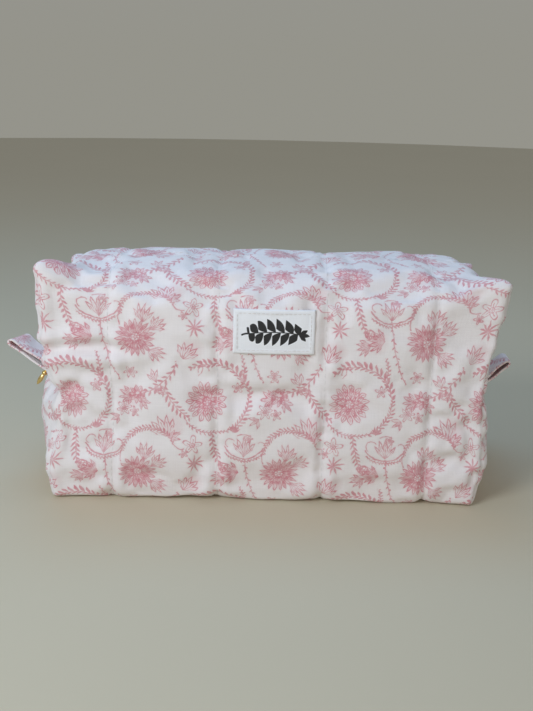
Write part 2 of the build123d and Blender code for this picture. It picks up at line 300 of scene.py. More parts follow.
def shaped(panel):
    """The panel's points with the bag's large forms: pinched ends, full faces, a raised zip and ears."""
    side = panel.side
    x, y, z = rounded(panel.box).T
    out = np.abs(y) / HALF_DEPTH
    edge = np.where(x < 0, left_edge(z), right_edge(z))
    middle = np.where(x < 0, left_middle(z), right_middle(z))
    to_corner = np.clip(out, 0, 1) ** 2.0
    target = to_corner * edge + (1 - to_corner) * middle
    reach = np.abs(x) / HALF_LENGTH
    wide = x * (1 + (target / HALF_LENGTH - 1) * reach**4)

    rise = np.clip(z / EDGE_Z, 0, 1) ** 9
    ridge = ridge_front(wide) if side < 0 else ridge_back(wide)
    slope = 1 - np.clip(out, 0, 1) ** (1.5 if side < 0 else 1.2)
    drop = 1.0 if side < 0 else 5.0
    top = (ridge - EDGE_Z + drop) * slope - drop
    top -= (2.6 if side < 0 else 0.8) * bell(np.abs(y) - ZIP_EDGE, 5)
    ear = np.where(x < 0, 10.0, 4.5) if side < 0 else -5.5
    top += ear * bell(reach - 1.0, 0.13) * bell(np.abs(y) - 52, 18)
    if side < 0:
        top -= 1.8 * bell(reach - 0.8, 0.08) * bell(np.abs(y) - 40, 22)
    tall = z + rise * top

    full = (1 - reach**4) * np.sin(np.pi * np.clip(z / EDGE_Z, 0, 1) ** 0.85) ** 0.8
    puff = np.abs(np.sin(np.pi * (x - QUILTING_X[0]) / QUILTING_PITCH)) ** 0.8 - 0.5
    swell = 2.0 * full + 0.25 * puff * full
    deep = y + side * swell * smooth((out - 0.6) / 0.4)
    bulge = 0.25 * puff * smooth((z / EDGE_Z - 0.9) / 0.1) * (1 - reach**6)
    return np.stack([wide, deep, tall + bulge], -1)


# ---------------------------------------------------------------- cloth simulation
def relax(panel, points, cap):
    """How far each cage point moves, at most cap, when the panel is blown out gently, held at its seams."""
    obj = make_object("relaxing", points, panel.faces, [])
    held = obj.vertex_groups.new(name="held")
    x, y, z = panel.box.T
    seam = np.minimum.reduce([
        np.abs(x[:, None] - np.array(QUILTING_X)).min(1) + 60 * (np.abs(x) > HALF_LENGTH - 0.1),
        np.hypot(HALF_LENGTH - np.abs(x), HALF_DEPTH - np.abs(y)),
        np.abs(z - SEAM_Z) + 60 * (np.abs(x) < HALF_LENGTH - 0.1),
        np.abs(np.abs(y) - ZIP_EDGE) + 60 * (z < SEAM_Z),
        np.abs(y) + 60 * (z > SEAM_Z),
        z * 3,
    ])
    on_top = 0.45 * smooth((z - 124) / 5) * (np.abs(np.abs(y) - ZIP_EDGE) > 1)
    for number, (distance, looser) in enumerate(zip(seam, on_top)):
        hold = 0.96 * (1 - smooth(distance / 6)) if distance > 0.5 else 1.0
        held.add([number], float(hold * (1 - looser)), "REPLACE")
    cloth = obj.modifiers.new("cloth", "CLOTH")
    settings = cloth.settings
    settings.quality = 6
    settings.mass = 0.2
    settings.tension_stiffness = 12
    settings.compression_stiffness = 12
    settings.shear_stiffness = 4
    settings.bending_stiffness = 0.6
    settings.use_pressure = True
    settings.uniform_pressure_force = 3
    settings.shrink_min = -0.035
    settings.vertex_group_mass = "held"
    settings.effector_weights.gravity = 0
    scene = bpy.context.scene
    for number in range(1, CLOTH_FRAMES + 1):
        scene.frame_set(number)
    evaluated = obj.evaluated_get(bpy.context.evaluated_depsgraph_get())
    found = np.array([v.co for v in evaluated.data.vertices]) / MM
    scene.frame_set(1)
    bpy.data.objects.remove(obj)
    moved = found - points
    length = np.maximum(np.linalg.norm(moved, axis=1, keepdims=True), 1e-9)
    return moved * (cap * np.tanh(length / cap) / length)


def upsample(values, factor):
    """Cubic interpolation of a grid of values along its first axis."""
    count = len(values) - 1
    at = np.arange(count * factor + 1) / factor
    low = np.minimum(at.astype(int), count - 1)
    t = (at - low).reshape(-1, *[1] * (values.ndim - 1))
    before = values[np.maximum(low - 1, 0)]
    here, there = values[low], values[low + 1]
    after = values[np.minimum(low + 2, count)]
    third = 3 * (here - there) + after - before
    second = 2 * before - 5 * here + 4 * there - after
    return here + 0.5 * t * (there - before + t * (second + t * third))


def carried_over(cage, fine, moved):
    """The cage's movement, spread over the finished grid."""
    found = np.zeros((len(fine.box), 3))
    for name, index in cage.grids.items():
        grid = upsample(moved[index], FINE)
        grid = upsample(grid.swapaxes(0, 1), FINE).swapaxes(0, 1)
        found[fine.grids[name]] = grid
    return found


# ---------------------------------------------------------------- creases
# On the front: points along each crease as (x, z), its depth and its width
CREASES = [
    ([(-126, 88), (-112, 91), (-96, 92), (-80, 90)], 3.6, 3.4),
    ([(-122, 82), (-108, 84.5), (-94, 85), (-82, 84)], -1.2, 4.0),
    ([(-125, 62), (-112, 66), (-100, 64)], 2.0, 4.0),
    ([(-120, 54), (-110, 56), (-98, 55)], 1.6, 3.5),
    ([(-118, 44), (-113, 36), (-106, 30)], 1.8, 3.5),
    ([(-42, 62), (-30, 65), (-14, 63), (0, 68), (16, 64), (34, 58)], 1.7, 4.5),
    ([(36, 74), (52, 63), (68, 52)], 1.4, 5.0),
    ([(60, 116), (68, 108), (76, 102)], 1.3, 4.5),
    ([(92, 54), (106, 48), (120, 50)], 1.8, 4.0),
    ([(92, 27), (104, 29), (118, 30)], 1.5, 4.0),
    ([(-84, 22), (-70, 18), (-56, 22)], 1.1, 5.0),
    ([(34, 30), (48, 24), (62, 28)], 1.0, 5.0),
    ([(-26, 96), (-40, 92), (-58, 94)], 0.9, 5.0),
]


def to_line(points, line):
    """Distance from points to a line of several runs, and how far along it the nearest place is, 0 to 1."""
    best = np.full(len(points), 1e9)
    along = np.zeros(len(points))
    line = np.array(line, float)
    for number, (a, b) in enumerate(zip(line, line[1:])):
        run = b - a
        t = np.clip((points - a) @ run / (run @ run), 0, 1)
        distance = np.linalg.norm(points - a - t[:, None] * run, axis=1)
        nearer = distance < best
        best = np.where(nearer, distance, best)
        along = np.where(nearer, (number + t) / (len(line) - 1), along)
    return best, along


def detail(panel):
    """Height of the fine relief: quilting channels, seams, puckers along them, and creases."""
    x, y, z = panel.box.T
    u, s = panel.cloth.T
    on_end = np.abs(x) > HALF_LENGTH - 0.01
    quilted = ~on_end | (np.abs(np.abs(u) - HALF_LENGTH) < 0.01)
    height = 0.4 * ripples(panel.box, 34, 3 + panel.side) + 0.16 * ripples(panel.box, 14, 8 + panel.side)

    for number, line in enumerate(QUILTING_X):
        across = u - line - 0.7 * ripples(s[:, None], 45, 20 + number)
        puckers = ripples(np.stack([across * 0.3, s], -1), 11, 30 + number + 5 * panel.side)
        relief = (-0.6 * bell(across, 2.4) - 0.6 * bell(across, 0.9)) * (1 - 0.45 * smooth((z - 118) / 12))
        relief += 0.38 * puckers * bell(across, 9) * (1 - 0.6 * bell(across, 1.5))
        relief -= 1.6 * bell(across, 4.5) * bell(s - HALF_DEPTH, 7)
        height += relief * quilted
    from_corner = np.where(on_end, HALF_DEPTH - np.abs(y), HALF_LENGTH - np.abs(x))
    # distance from each seam (FAR off it), place along it, depth and width
    seams = (
        (from_corner + FAR * ((z < 1) | (z > EDGE_Z - 1)), z, 0.6, 1.2),
        (np.abs(z - SEAM_Z) + FAR * ~on_end, y, 2.4, 2.4),
        (np.abs(y) - ZIP_EDGE + FAR * (z < SEAM_Z), u, 0.5, 2.6),
        (np.abs(y) + FAR * (z > SEAM_Z), u, 1.2, 2.4),
    )
    for number, (across, along, depth, width) in enumerate(seams):
        puckers = ripples(np.stack([across * 0.3, along], -1), 10, 50 + number + 5 * panel.side)
        height += -depth * bell(across, width) + 0.32 * puckers * bell(across, 9)
    if panel.side < 0:
        on_face = smooth((np.abs(y) - 40) / 20)
        place = np.stack([x, z], -1)
        for line, depth, width in CREASES:
            distance, along = to_line(place, line)
            fade = np.clip(np.sin(np.pi * (0.08 + 0.84 * along)), 0, 1) ** 0.6
            fade = fade * smooth((width * 4 - distance) / width)
            fold = -depth * bell(distance, width) + 0.45 * depth * bell(distance - 1.9 * width, width)
            height += fold * fade * on_face
    return height


# ---------------------------------------------------------------- materials
class Number:
    """A number that varies over the surface: a socket in a material's nodes."""

    def __init__(self, socket):
        self.socket = socket

    def do(self, operation, *others):
        tree = self.socket.node.id_data
        node = tree.nodes.new("ShaderNodeMath")
        node.operation = operation
        for place, value in enumerate((self, *others)):
            if isinstance(value, Number):
                tree.links.new(value.socket, node.inputs[place])
            else:
                node.inputs[place].default_value = value
        return Number(node.outputs[0])

    def __add__(self, other):
        return self.do("ADD", other)

    def __sub__(self, other):
        return self.do("SUBTRACT", other)

    def __mul__(self, other):
        return self.do("MULTIPLY", other)

    def __abs__(self):
        return self.do("ABSOLUTE")

    def times_plus(self, factor, addend):
        return self.do("MULTIPLY_ADD", factor, addend)

    def held(self):
        """The number kept between 0 and 1."""
        return self.do("MINIMUM", 1.0).do("MAXIMUM", 0.0)


def least(*values):
    return reduce(lambda found, value: found.do("MINIMUM", value), values)


def most(*values):
    return reduce(lambda found, value: found.do("MAXIMUM", value), values)


class Print:
    """Line drawings on a repeating square of cloth. Each drawing is a distance in millimetres to its ink."""

    LINE = 0.25  # half the width of a drawn line
    WIDE = 25  # arcs of a greater radius need the tile's edges moved away from them
    LEAN = math.radians(48)  # of a leaflet from its stem

    def __init__(self, x, y, tile=80.0):
        self.x, self.y, self.tile = x, y, tile

    def local(self, centre, turn=0.0, reach=0.0):
        """Coordinates about a centre, turned by an angle in degrees. They repeat with the tile, whose edges
        lie furthest from the point that is reach from the centre in that direction."""
        angle = math.radians(turn)
        far = (reach * math.cos(angle), reach * math.sin(angle))
        tile = self.tile
        x, y = (
            place.times_plus(1 / tile, 0.5 - (middle + away) / tile)
            .do("FRACT").times_plus(tile, away - tile / 2)
            for place, middle, away in ((self.x, centre[0], far[0]), (self.y, centre[1], far[1]))
        )
        if not turn:
            return x, y
        c, s = math.cos(angle), math.sin(angle)
        return x.times_plus(c, y * s), y.times_plus(c, x * -s)

    def polar(self, centre, turn=0.0, reach=0.0):
        x, y = self.local(centre, turn, reach)
        return x.times_plus(x, y * y).do("SQRT"), y.do("ARCTAN2", x)

    def about_arc(self, centre, radius, start, end):
        """Polar coordinates about an arc's centre, turned to its middle, and half the angle it spans."""
        r, a = self.polar(centre, (start + end) / 2, radius if radius > self.WIDE else 0)
        return r, a, math.radians(abs(end - start) / 2)

    def petal(self, across, share, fat):
        """Half width of a pointed leaf at a share of its length, less the distance across it."""
        bent = share.times_plus(2, -1)
        return across - (bent * bent).times_plus(-fat, fat)

    def stem(self, centre, radius, start, end, width=0.5):
        r, a, half = self.about_arc(centre, radius, start, end)
        return most(abs(r - radius) - width / 2, (abs(a) - half) * radius)

    def fern(self, centre, radius, start, end, leaf, pitch=2.3, fat=0.55, lean=1, inner=1.25):
        """A curved stem with slanted leaflets, longest at its middle, and shorter on its inner side."""
        r, a, half = self.about_arc(centre, radius, start, end)
        out = r - radius
        beyond = (abs(a) - half) * radius
        stem = most(abs(out) - 0.24, beyond)
        up = out.do("MAXIMUM", out * -inner)
        offset = out.do("SIGN") * 0.22
        cell = a.times_plus(lean * radius / pitch, offset).do("FRACT") * pitch
        c, s = math.cos(self.LEAN), math.sin(self.LEAN)
        along = cell.times_plus(c, up * s)
        across = abs(up.times_plus(c, cell * -s))
        taper = (a * a).times_plus(-0.55 / half**2, 1.0)
        share = along.do("DIVIDE", taper * leaf)
        return least(stem, most(self.petal(across, share, fat), beyond - 0.8))

    def fan(self, centre, turn, reach, leaves, spread, fat=0.9, outline=True):
        """Leaves or petals side by side, pointing from a centre within a spread of angles."""
        r, a = self.polar(centre, turn)
        step = math.radians(spread / leaves)
        half = math.radians(spread / 2)
        offset = 0.5 if leaves % 2 else 0.0
        cell = (a * (1 / step) + offset).do("FRACT").times_plus(step, -step / 2)
        across = abs(cell) * r
        taper = (a * a).times_plus(-0.3 / half**2, 1.0)
        share = r.do("DIVIDE", taper * reach)
        leaf = self.petal(across, share, fat)
        if outline:
            vein = most(across - 0.14, share * reach - 0.72 * reach)
            leaf = least(abs(leaf) - self.LINE, vein)
        return most(leaf, (abs(a) - half) * (reach * 0.6)) if spread < 360 else leaf

    def petals(self, centre, radius, count, core, turn=0.0, fat=1.0):
        """A ring of outlined petals with a vein in each."""
        r, a = self.polar(centre, turn)
        step = 2 * math.pi / count
        cell = (a * (1 / step)).do("FRACT").times_plus(step, -step / 2)
        across = abs(cell) * r
        share = (r - core) * (1 / (radius - core))
        ring = abs(self.petal(across, share, fat)) - self.LINE
        vein = most(across - 0.15, share - 0.7, share * -1)
        return least(ring, most(vein, abs(r - core) - (radius - core)))

    def scales(self, centre, radius, count, rings):
        """A rounded head of overlapping scales."""
        r, a = self.polar(centre)
        depth = radius / rings
        level = r * (1 / depth)
        ring = level.do("FLOOR")
        cell = (a * (count / (2 * math.pi)) + ring * 0.5).do("FRACT") - 0.5
        scale = abs(level.do("FRACT") - (cell * cell).times_plus(-3.0, 0.85)) * depth - self.LINE
        rim = abs(r - radius) - self.LINE
        return least(most(scale, r - radius), rim)

    def floret(self, centre, radius, count, turn=0.0):
        """A small open flower with rounded petals and a spotted middle."""
        r, a = self.polar(centre, turn)
        wave = (a * count).do("COSINE")
        edge = abs(r - wave.times_plus(radius * 0.3, radius * 0.7)) * 0.75 - self.LINE
        step = 2 * math.pi / count
        cell = (a * (1 / step) + 0.5).do("FRACT").times_plus(step, -step / 2)
        vein = most(abs(cell) * r - 0.16, r - radius * 0.62)
        return least(edge, vein, abs(r - radius * 0.24) - 0.2)


def floral_print(x, y):
    """The toile: scrolling ferns, two full flowers, a thistle, sprigs and small flowers."""
    p = Print(x, y)
    return least(
        # full flower with its leaves
        p.petals((40, 62), 10.6, 19, 4.8, 4, 0.8),
        p.petals((40, 62), 7.0, 13, 2.6, 10, 0.7),
        p.scales((40, 62), 2.6, 5, 2),
        p.fan((43.5, 70.5), 80, 10.5, 5, 96, 0.9),
        p.fan((47.5, 66), 40, 10, 5, 84, 0.9),
        p.fan((46.5, 56), -36, 10.5, 5, 84, 0.85),
        # fern arched over it, with the flower cluster at its end
        p.fern((46.7, 74.6), 15.2, 174, 26, 3.4, 1.9, 0.42),
        p.stem((36.2, 72.5), 6.2, 138, 215, 0.5),
        p.fan((57.5, 4.5), 116, 13.5, 5, 104, 1.5),
        p.fan((58, 3.5), 30, 7, 3, 90, 0.9),
        p.stem((64.5, 83), 5.0, 95, 290, 0.45),
        # open flower and star
        p.floret((71, 80.2), 5.6, 5, 12),
        p.floret((66, 75), 2.4, 5, 40),
        p.fan((72, 68.6), 8, 6.2, 9, 360, 0.5, False),
        # branch that rises from the lower flowers to the great scroll
        p.fern((30.4, 62.4), 35.5, -76, -25, 4.2, 3.6, 0.6, -1),
        p.fan((65.5, 49.5), 62, 11, 5, 110, 1.25),
        p.fan((51, 35.5), 112, 8, 3, 84, 1.0),
        p.fan((50, 34), -60, 5, 3, 90, 0.6),
        p.petals((40, 28.6), 5.2, 9, 1.6, 0, 0.9),
        p.fan((36.5, 28), 188, 7.5, 5, 150, 0.9),
        p.fan((42, 26), -50, 6.5, 3, 110, 0.8),
        p.floret((36.7, 41.4), 3.6, 6, 0),
        p.floret((31.6, 20.5), 4.2, 6, 10),
        p.floret((38.0, 18.8), 2.8, 5, 30),
        p.fan((29, 16.5), 215, 6.5, 3, 120, 0.8),
        # great scroll round the second full flower
        p.fern((82.5, 27.5), 20.3, 128, 4, 5.6, 3.0, 0.75, 1, 1.9),
        p.fern((82.5, 27.5), 20.3, 4, -70, 3.8, 2.4, 0.45, 1, 1.6),
        p.fern((82.5, 27.5), 20.3, -70, -138, 2.4, 2.2, 0.32, 1, 1.3),
        p.petals((79, 25.5), 11.4, 15, 6.4, 0, 1.25),
        p.petals((79.3, 26), 8.8, 12, 4.0, 9, 1.15),
        p.petals((79, 25.2), 5.8, 9, 1.8, 4, 1.05),
        p.scales((79, 25.3), 2.6, 5, 2),
        p.stem((77.6, 43.2), 3.2, 200, 20, 0.5),
        p.stem((72.5, 44.5), 4.6, 60, -60, 0.4),
        # spray at the scroll's left
        p.fern((92.4, 49.1), 40.5, -158, -124, 5.0, 3.0, 0.6),
        p.fan((57.5, 29.5), 140, 5.5, 3, 100, 0.8),
        # boat-shaped scroll with its sprig, and the stem that hangs from it
        p.stem((20.5, 85.3), 12.9, 208, 328, 0.7),
        p.fern((20.5, 85.3), 14.4, 222, 318, 1.6, 1.7, 0.3),
        p.stem((12.6, 81.2), 2.9, 30, 240, 0.5),
        p.stem((29.4, 80), 2.4, -60, 120, 0.45),
        p.fan((20.5, 73.5), 90, 12, 5, 96, 1.0),
        p.stem((20.5, 80), 7.2, 60, 120, 0.5),
        p.fern((93.1, 73.7), 72, -179, -150, 2.2, 4.6, 0.4),
        # feathered chain and thistle at its left
        p.fern((52, 88.8), 50, -178, -152, 3.6, 2.7, 0.55),
        p.fan((17.5, 62.5), 176, 10, 7, 130, 0.8),
        p.fan((9.5, 60), 200, 8, 5, 120, 0.8),
        p.scales((8.6, 66.5), 2.6, 5, 2),
        # sprigs in the open ground
        p.fern((-6, 44), 26, 20, -22, 2.4, 2.4, 0.4),
        p.floret((16.5, 33.5), 3.2, 5, 20),
        p.fan((14.5, 8), 75, 5.5, 5, 120, 0.55, False),
        p.floret((22.8, 4.5), 2.4, 5, 0),
    )


def flower_wash(x, y):
    """A soft tint behind the fullest flowers, where the printed strokes lie closest."""
    p = Print(x, y)
    blooms = (
        ((40, 62), 9), ((79, 25.5), 9.5), ((37, 27), 6),
        ((71, 56), 5), ((60, 12), 6), ((12, 62), 6),
    )
    return least(*[p.polar(centre)[0] - radius for centre, radius in blooms])


def new_material(name, roughness, sheen=0.0):
    material = bpy.data.materials.new(name)
    material.use_nodes = True
    shader = material.node_tree.nodes["Principled BSDF"]
    shader.inputs["Roughness"].default_value = roughness
    shader.inputs["Sheen Weight"].default_value = sheen
    shader.inputs["Sheen Roughness"].default_value = 0.5
    return material, material.node_tree, shader


def feed(tree, socket, value):
    """Links a number or a socket to a socket, or sets it to a plain value."""
    value = value.socket if isinstance(value, Number) else value
    if isinstance(value, bpy.types.NodeSocket):
        tree.links.new(value, socket)
    else:
        socket.default_value = value


def node(tree, kind, settings=None, **inputs):
    made = tree.nodes.new(kind)
    for key, value in (settings or {}).items():
        setattr(made, key, value)
    for key, value in inputs.items():
        feed(tree, made.inputs[key.replace("_", " ")], value)
    return made


def mix_colour(tree, factor, first, second):
    mixed = node(tree, "ShaderNodeMix", {"data_type": "RGBA"})
    feed(tree, mixed.inputs[0], factor)
    for place, colour in ((6, first), (7, second)):
        feed(tree, mixed.inputs[place], (*colour, 1) if isinstance(colour, tuple) else colour)
    return mixed.outputs[2]


def mottled(name, roughness, sheen, scale, detail_level, first, second):
    """A material of two close colours in soft patches. Also its tree, its shader and the patches."""
    material, tree, shader = new_material(name, roughness, sheen)
    patches = noise_of(tree, object_place(tree), scale, detail_level)
    tree.links.new(mix_colour(tree, patches, first, second), shader.inputs["Base Color"])
    return material, tree, shader, patches


def cloth_place(tree):
    """Place on the flat cloth in millimetres: the vector, and its two numbers."""
    uv = node(tree, "ShaderNodeUVMap", {"uv_map": "Cloth"}).outputs[0]
    split = node(tree, "ShaderNodeSeparateXYZ", Vector=uv)
    return uv, Number(split.outputs[0]), Number(split.outputs[1])


def noise_of(tree, vector, scale, detail_level=2.0, stretch=(1, 1, 1)):
    mapped = node(tree, "ShaderNodeMapping", Vector=vector, Scale=stretch)
    made = node(tree, "ShaderNodeTexNoise", Vector=mapped.outputs[0], Scale=scale, Detail=detail_level)
    return Number(made.outputs[0])


def bump(tree, shader, strength, distance, height):
    made = node(tree, "ShaderNodeBump", Strength=strength, Distance=distance, Height=height)
    tree.links.new(made.outputs[0], shader.inputs["Normal"])


def object_place(tree):
    return node(tree, "ShaderNodeTexCoord").outputs["Object"]


def weave_bump(tree, shader, x, y, vector, thread, strength):
    """Plain weave: two sets of threads that pass over and under each other, with uneven thickness."""
    pace = math.pi / thread
    warp = (x * pace).do("SINE")
    weft = (y * pace).do("SINE")
    slubs_up, slubs_along = (
        noise_of(tree, vector, 1.0, 2.0, stretch) for stretch in ((1.6, 0.09, 1), (0.09, 1.6, 1))
    )
    slubs = slubs_up + slubs_along
    height = (warp * weft).times_plus(0.35, slubs)
    bump(tree, shader, strength, 0.0004, height)
    return slubs


def woven_colour(tree, slubs, first, second):
    return mix_colour(tree, slubs.times_plus(0.9, -0.4), first, second)


def printed_cotton():
    material, tree, shader = new_material("printed_cotton", 0.88, 0.25)
    vector, x, y = cloth_place(tree)
    shake_x = noise_of(tree, vector, 0.2, 3.0).times_plus(SHAKE, PRINT_X - SHAKE / 2)
    shake_y = noise_of(tree, vector, 0.2, 3.0, (1, -1, 1)).times_plus(SHAKE, PRINT_Y - SHAKE / 2)
    x_print, y_print = x + shake_x, y + shake_y
    distance = floral_print(x_print, y_print)
    wash = flower_wash(x_print, y_print).times_plus(-0.22, 0.5).held()
    pressure = noise_of(tree, vector, 0.35, 3.0)
    line = distance - pressure.times_plus(0.6, -0.27)
    drawn = line.times_plus(-3.4, 0.5).held()
    halo = distance.times_plus(-0.5, 0.6).held()
    slubs = weave_bump(tree, shader, x, y, vector, 0.42, 0.35)
    grain = noise_of(tree, vector, 2.4, 2.0)
    strength = drawn * (pressure.times_plus(0.7, 0.30) * grain.times_plus(0.6, 0.72))
    strength = (strength + halo * 0.17 + wash * 0.16).do("MINIMUM", 1.0)
    ground = woven_colour(tree, slubs, (0.82, 0.775, 0.78), (0.89, 0.855, 0.86))
    ink = mix_colour(tree, noise_of(tree, vector, 0.05), (0.60, 0.21, 0.25), (0.70, 0.30, 0.34))
    colour = mix_colour(tree, strength, ground, ink)
    tree.links.new(colour, shader.inputs["Base Color"])
    return material


def plain_cloth(name, first, second, thread=0.5, strength=0.4, roughness=0.9):
    material, tree, shader = new_material(name, roughness, 0.2)
    vector, x, y = cloth_place(tree)
    slubs = weave_bump(tree, shader, x, y, vector, thread, strength)
    tree.links.new(woven_colour(tree, slubs, first, second), shader.inputs["Base Color"])
    return material


def label_cloth():
    """Satin label with a generic leafy ornament in black."""
    material, tree, shader = new_material("label_cloth", 0.6, 0.15)
    vector, x, y = cloth_place(tree)
    p = Print(x, y, 400.0)
    leafy = [
        p.fern((0, -90), 90.0, 98.8, 81.2, 11.5, 4.8, 2.2, 1, 1.0),
        p.fan((13.4, -1.1), -8, 6.4, 3, 104, 1.3, False),
        p.stem((-14.5, -7.4), 6.4, 60, 122, 0.9),
    ]
    distance = least(*leafy)
    black = distance.times_plus(-6.0, 0.7).held()
    slubs = weave_bump(tree, shader, x, y, vector, 0.3, 0.25)
    white = woven_colour(tree, slubs, (0.85, 0.87, 0.91), (0.92, 0.94, 0.98))
    colour = mix_colour(tree, black, white, (0.012, 0.012, 0.014))
    tree.links.new(colour, shader.inputs["Base Color"])
    return material


def darker(colour, share):
    return tuple(share * value for value in colour)


def thread_material(name, colour):
    material, tree, shader, speckle = mottled(name, 0.7, 0.2, 900, 2.0, darker(colour, 0.82), colour)
    bump(tree, shader, 0.4, 0.0001, speckle)
    return material


def nylon():
    colours = (0.74, 0.71, 0.67), (0.84, 0.81, 0.77)
    material, tree, shader, cloudy = mottled("zipper_nylon", 0.34, 0.0, 260, 2.0, *colours)
    bump(tree, shader, 0.15, 0.0002, cloudy)
    return material


def gold():
    colours = (0.86, 0.60, 0.20), (0.95, 0.74, 0.36)
    material, tree, shader, _ = mottled("gold_metal", 0.22, 0.0, 180, 4.0, *colours)
    shader.inputs["Metallic"].default_value = 1.0
    scuffs = noise_of(tree, object_place(tree), 700, 3.0)
    tree.links.new(scuffs.times_plus(0.22, 0.12).socket, shader.inputs["Roughness"])
    bump(tree, shader, 0.12, 0.0001, scuffs)
    return material


cotton = printed_cotton()
lining = plain_cloth("lining_cotton", (0.70, 0.66, 0.62), (0.80, 0.77, 0.73))
binding_cloth = plain_cloth("seam_binding", (0.68, 0.64, 0.60), (0.78, 0.74, 0.70), 0.6)
tape_cloth = plain_cloth("zipper_tape", (0.72, 0.69, 0.65), (0.82, 0.80, 0.76), 0.7, 0.6)
label_material = label_cloth()
white_thread = thread_material("sewing_thread", (0.86, 0.83, 0.83))
coil_material = nylon()
gold_material = gold()


# ---------------------------------------------------------------- the two quilted panels
def finished_panel(side):
    """The dense panel: its outer points, their normals, and the inner points under them."""
    cage, fine = Panel(side, 1), Panel(side, FINE)
    moved = relax(cage, shaped(cage), MOST_RELAXED)
    outer = shaped(fine) + carried_over(cage, fine, moved)
    normals = vertex_normals(outer, fine.faces)
    outer = outer + normals * detail(fine)[:, None]
    outer[:, 2] = np.maximum(outer[:, 2], FLOOR_GAP)
    normals = vertex_normals(outer, fine.faces)
    x, y, z = fine.box.T
    from_zip = np.where(z > SEAM_Z, np.abs(y) - ZIP_EDGE, FAR)
    from_seam = np.where(z <= SEAM_Z, np.abs(y), FAR)
    thick = EDGE_THICKNESS + (THICKNESS - EDGE_THICKNESS) * smooth(np.minimum(from_zip, from_seam) / 12)
    inner = outer - normals * thick[:, None]
    return fine, outer, normals, inner


def panel_object(name, fine, outer, inner):
    """A closed shell: printed cotton outside and round the edge, lining inside."""
    count = len(outer)
    faces, uv = fine.faces, fine.uv
    edges = {}
    for face, corners in zip(faces, uv):
        for k in range(4):
            a, b = face[k], face[(k + 1) % 4]
            edges[(a, b)] = (corners[k], corners[(k + 1) % 4])
    rim, rim_uv = [], []
    for (a, b), (uv_a, uv_b) in edges.items():
        if (b, a) not in edges:
            rim.append([b, a, a + count, b + count])
            rim_uv.append([uv_b, uv_a, uv_a, uv_b])
    all_faces = np.concatenate([faces, faces[:, ::-1] + count, rim])
    all_uv = np.concatenate([uv, uv[:, ::-1], rim_uv])
    slots = np.concatenate([np.zeros(len(faces)), np.ones(len(faces)), np.zeros(len(rim))])
    return make_object(name, np.concatenate([outer, inner]), all_faces, [cotton, lining], all_uv, slots)


MOUTH_FULL, MOUTH_END = 60, 116  # where the open mouth starts to close, and where it has closed
BEND_START = HALF_DEPTH + EDGE_Z - 4
BEND_END = HALF_DEPTH + EDGE_Z + 26


def mouth_weight(x, s):
    """A weight for each point of a panel, from its place on the cloth: whole along the middle of the mouth,
    fading towards its ends and away from the zip.
    """
    lens = 1 - smooth((np.abs(x) - MOUTH_FULL) / (MOUTH_END - MOUTH_FULL))
    return lens * smooth((s - BEND_START) / (BEND_END - BEND_START))


def follow_flap(obj, weights):
    """Bakes obj's placement into its mesh."""
    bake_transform(obj)


panels = {}
for side_name, side in SIDES.items():
    fine, outer, normals, inner = finished_panel(side)
    obj = panel_object(f"quilted_panel_{side_name}", fine, outer, inner)
    weights = mouth_weight(*fine.cloth.T)
    weights[np.isin(fine.region, [f"{end}_{part}" for end in ENDS for part in ("low", "high")])] = 0
    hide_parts(*[f"{layer}_{side_name}_{part}" for layer in ("outer", "wadding", "lining")
                       for part in ("panel", "flap")])
    follow_flap(obj, np.concatenate([weights, weights]))
    panels[side_name] = (fine, outer, normals, inner)


# ---------------------------------------------------------------- swept strips and stitches
def sweep(path, ups, section):
    """A closed strip: the section's (across, up) points carried along a path."""
    path, ups, section = (np.asarray(value, float) for value in (path, ups, section))
    ahead = unit(np.gradient(path, axis=0))
    across = unit(np.cross(ahead, ups))
    lift = np.cross(across, ahead)
    points = path[:, None] + across[:, None] * section[None, :, :1] + lift[:, None] * section[None, :, 1:]
    rows, count = points.shape[:2]
    round_section = travel(np.concatenate([section, section[:1]]))
    travelled = travel(path)
    faces, uv = [], []
    for i in range(rows - 1):
        for k in range(count):
            n = (k + 1) % count
            faces.append([i * count + k, (i + 1) * count + k, (i + 1) * count + n, i * count + n])
            u0, u1, v0, v1 = travelled[i], travelled[i + 1], round_section[k], round_section[k + 1]
            uv += [(u0, v0), (u1, v0), (u1, v1), (u0, v1)]
    last = (rows - 1) * count
    for cap in (list(range(count)), list(range(last + count - 1, last - 1, -1))):
        faces.append(cap)
        uv += [tuple(section[number % count]) for number in cap]
    return points.reshape(-1, 3), faces, uv


def two_sided(rows, columns, places, turned=False):
    """Faces and cloth places of a sheet's two sides: two grids of points, joined round the border."""
    count = rows * columns
    index = np.arange(count).reshape(rows, columns)
    faces = []
    for i, j in np.ndindex(rows - 1, columns - 1):
        ring = [index[i, j], index[i + 1, j], index[i + 1, j + 1], index[i, j + 1]]
        faces.append(ring[::-1] if turned else ring)
    faces += [[number + count for number in ring[::-1]] for ring in faces]
    border = [*index[:, 0], *index[-1, 1:], *index[::-1, -1][1:], *index[0, ::-1][1:-1]]
    for a, b in zip(border, border[1:] + border[:1]):
        faces.append([a, b, b + count, a + count] if turned else [b, a, a + count, b + count])
    return faces, [places[number % count] for ring in faces for number in ring]


def rounded_strip(width, height, corner_points=3):
    """Section of a flat strip with round edges, its lower side at 0."""
    radius = height / 2
    found = []
    for sign in (1, -1):
        for step in range(corner_points + 1):
            angle = math.radians(-90 + 180 * step / corner_points)
            across = width / 2 - radius + radius * math.cos(angle)
            found.append((sign * across, radius + sign * radius * math.sin(angle)))
    return found


